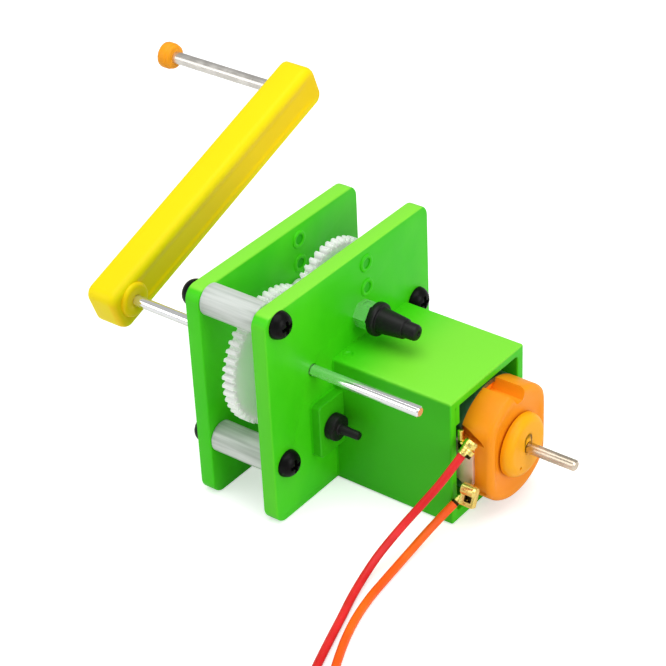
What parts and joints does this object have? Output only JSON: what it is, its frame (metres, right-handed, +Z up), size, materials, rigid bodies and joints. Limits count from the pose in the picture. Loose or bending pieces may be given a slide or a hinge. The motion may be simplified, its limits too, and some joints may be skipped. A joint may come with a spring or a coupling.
{
  "type": "hand crank generator",
  "caption": "Hand crank generator: a cranked arm turns a step-up gear train between side plates and drives a small dynamo with wire leads.",
  "frame": {"origin": "on the resting surface, below the motor's axis, at the front plate's outer face", "axes": "+X along the shafts from the side plates to the motor's free shaft end, +Z up, +Y across the plates away from the crank shaft"},
  "size_m": [0.1291, 0.1216, 0.049],
  "materials": {
    "green_plastic": "moulded, satin gloss",
    "yellow_plastic": "moulded, satin gloss",
    "orange_plastic": "moulded, satin gloss",
    "amber_plastic": "moulded, satin gloss",
    "white_nylon": "natural nylon, slightly translucent",
    "black_plastic": "moulded, satin",
    "black_steel": "black oxide",
    "bright_steel": "polished",
    "plain_steel": "drawn rod, nickel tone",
    "can_steel": "plated sheet",
    "strip_metal": "dull sheet",
    "brass": "stamped and bent",
    "bronze": "sintered",
    "magnet": "sintered ferrite",
    "copper": "enamelled wire",
    "laminations": "stacked sheets",
    "red_insulation": "soft extruded plastic",
    "orange_insulation": "soft extruded plastic",
    "tinned_metal": "tinned"
  },
  "bodies": {
    "frame": {"front_plate": "green_plastic", "back_plate": "green_plastic", "spacers": "white_nylon", "front_screws": "black_steel", "back_screws": "black_steel", "locating_post": "black_plastic", "hex_bush": "bright_steel", "third_axle": "bright_steel", "motor_can": "can_steel", "motor_endcap": "orange_plastic", "motor_boss": "amber_plastic", "motor_bearings": "bronze", "motor_magnets": "magnet", "motor_brushes": "copper", "contact_strip": "strip_metal", "upper_terminal": "brass", "lower_terminal": "brass", "red_wire": "red_insulation", "red_coil": "red_insulation", "red_pin": "tinned_metal", "orange_wire": "orange_insulation", "orange_coil": "orange_insulation", "orange_pin": "tinned_metal"},
    "crank": {"crank_shaft": "bright_steel", "crank_arm": "yellow_plastic", "handle_rod": "plain_steel", "handle_cap": "orange_plastic", "crank_gear": "white_nylon"},
    "second_stage": {"second_gear": "white_nylon", "second_axle": "bright_steel", "axle_nose": "black_plastic"},
    "third_stage": {"third_gear": "white_nylon"},
    "rotor": {"motor_shaft": "plain_steel", "rotor_core": "laminations", "rotor_windings": "copper", "commutator": "copper", "motor_pinion": "white_nylon"}
  },
  "joints": [
    {"name": "crank_turn", "type": "hinge", "parent": "frame", "child": "crank", "pos_m": [0, -0.0168, 0.0259], "axis": [1, 0, 0], "continuous": true},
    {"name": "second_turn", "type": "hinge", "parent": "frame", "child": "second_stage", "pos_m": [0, -0.00286, 0.0299], "axis": [1, 0, 0], "continuous": true},
    {"name": "third_turn", "type": "hinge", "parent": "frame", "child": "third_stage", "pos_m": [0, -0.00934, 0.01749], "axis": [1, 0, 0], "continuous": true},
    {"name": "rotor_turn", "type": "hinge", "parent": "frame", "child": "rotor", "pos_m": [0, 0, 0.0127], "axis": [1, 0, 0], "continuous": true}
  ],
  "couplings": [
    {"joint": "second_turn", "follows": "crank_turn", "ratio": -4.8},
    {"joint": "third_turn", "follows": "crank_turn", "ratio": 22.08},
    {"joint": "rotor_turn", "follows": "crank_turn", "ratio": -70.656}
  ]
}
